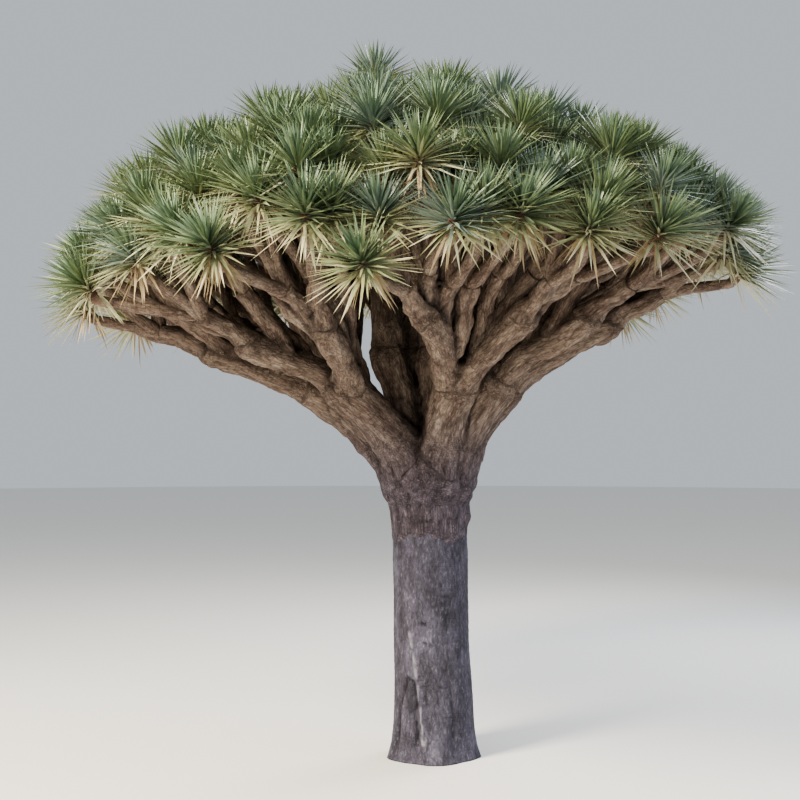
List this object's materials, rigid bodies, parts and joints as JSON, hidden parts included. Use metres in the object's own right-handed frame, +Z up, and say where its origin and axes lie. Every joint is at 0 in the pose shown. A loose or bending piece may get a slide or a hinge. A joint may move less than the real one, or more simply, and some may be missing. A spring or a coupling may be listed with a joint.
{
  "type": "dragon blood tree",
  "caption": "Mature dragon blood tree: stout grey trunk, thick forking boughs and an umbrella crown of sword-leaved rosettes.",
  "frame": {"origin": "middle of the flat cut under the trunk at ground level", "axes": "+Z up the trunk, -Y towards the picture's camera, +X to the right in the picture"},
  "size_m": [6.4899, 6.6777, 6.4878],
  "materials": {
    "trunk_bark": "smooth pale grey bark with faint rings and flutes",
    "bough_bark": "rough brown-grey bark in thick sausage-like stretches",
    "foliage": "stiff grey-green sword leaves with a dull wax"
  },
  "bodies": {
    "root": {"bough_back": "bough_bark", "bough_back_left": "bough_bark", "bough_back_right": "bough_bark", "bough_front": "bough_bark", "bough_front_left": "bough_bark", "bough_front_right": "bough_bark", "bough_left": "bough_bark", "bough_right": "bough_bark", "bough_top_back": "bough_bark", "bough_top_left": "bough_bark", "bough_top_right": "bough_bark", "foliage_back_1": "foliage", "foliage_back_2": "foliage", "foliage_back_left_1": "foliage", "foliage_back_left_2": "foliage", "foliage_back_left_3": "foliage", "foliage_back_right_1": "foliage", "foliage_back_right_2": "foliage", "foliage_front_1": "foliage", "foliage_front_2": "foliage", "foliage_front_3": "foliage", "foliage_front_left_1": "foliage", "foliage_front_left_2": "foliage", "foliage_front_left_3": "foliage", "foliage_front_right_1": "foliage", "foliage_front_right_2": "foliage", "foliage_left_1": "foliage", "foliage_left_2": "foliage", "foliage_left_3": "foliage", "foliage_right_1": "foliage", "foliage_right_2": "foliage", "foliage_right_3": "foliage", "foliage_top_back_1": "foliage", "foliage_top_left_1": "foliage", "foliage_top_right_1": "foliage", "fork_back_1": "bough_bark", "fork_back_2": "bough_bark", "fork_back_left_1": "bough_bark", "fork_back_left_2": "bough_bark", "fork_back_left_3": "bough_bark", "fork_back_right_1": "bough_bark", "fork_back_right_2": "bough_bark", "fork_front_1": "bough_bark", "fork_front_2": "bough_bark", "fork_front_3": "bough_bark", "fork_front_left_1": "bough_bark", "fork_front_left_2": "bough_bark", "fork_front_left_3": "bough_bark", "fork_front_right_1": "bough_bark", "fork_front_right_2": "bough_bark", "fork_left_1": "bough_bark", "fork_left_2": "bough_bark", "fork_left_3": "bough_bark", "fork_right_1": "bough_bark", "fork_right_2": "bough_bark", "fork_right_3": "bough_bark", "fork_top_back_1": "bough_bark", "fork_top_left_1": "bough_bark", "fork_top_right_1": "bough_bark", "trunk": "trunk_bark"}
  },
  "joints": []
}
